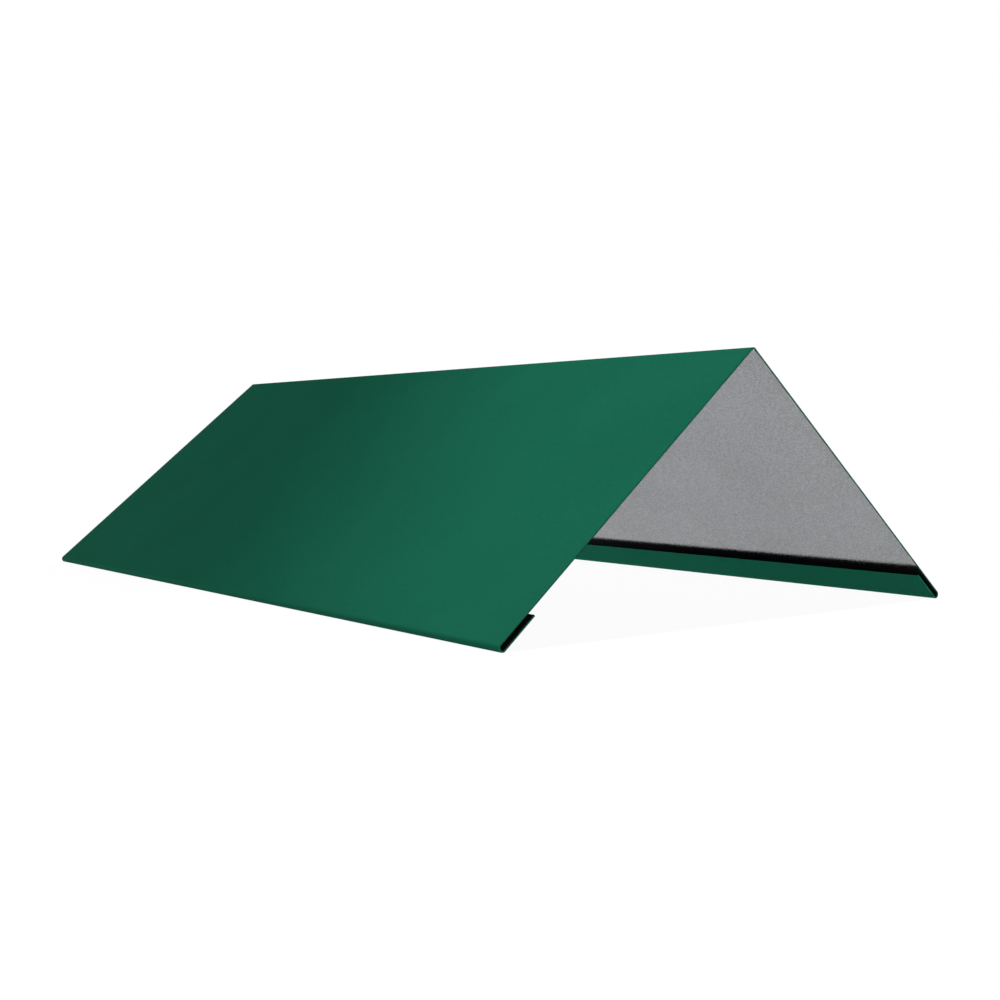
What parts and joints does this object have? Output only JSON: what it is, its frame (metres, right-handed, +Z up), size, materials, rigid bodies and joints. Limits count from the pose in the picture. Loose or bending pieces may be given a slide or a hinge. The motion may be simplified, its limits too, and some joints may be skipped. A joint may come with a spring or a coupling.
{
  "type": "roof ridge cap",
  "caption": "Folded sheet steel ridge cap: equal slopes meet at a ridge, and each eave edge is turned under into an open hem. Covers the ridge joint of a pitched roof.",
  "frame": {"origin": "on the floor, below the middle of the ridge", "axes": "+X along the ridge, +Y square to the ridge towards one eave, +Z up"},
  "size_m": [0.382, 0.2286, 0.0978],
  "materials": {
    "painted_sheet": "matte"
  },
  "bodies": {
    "root": {"ridge_cap": "painted_sheet"}
  },
  "joints": []
}
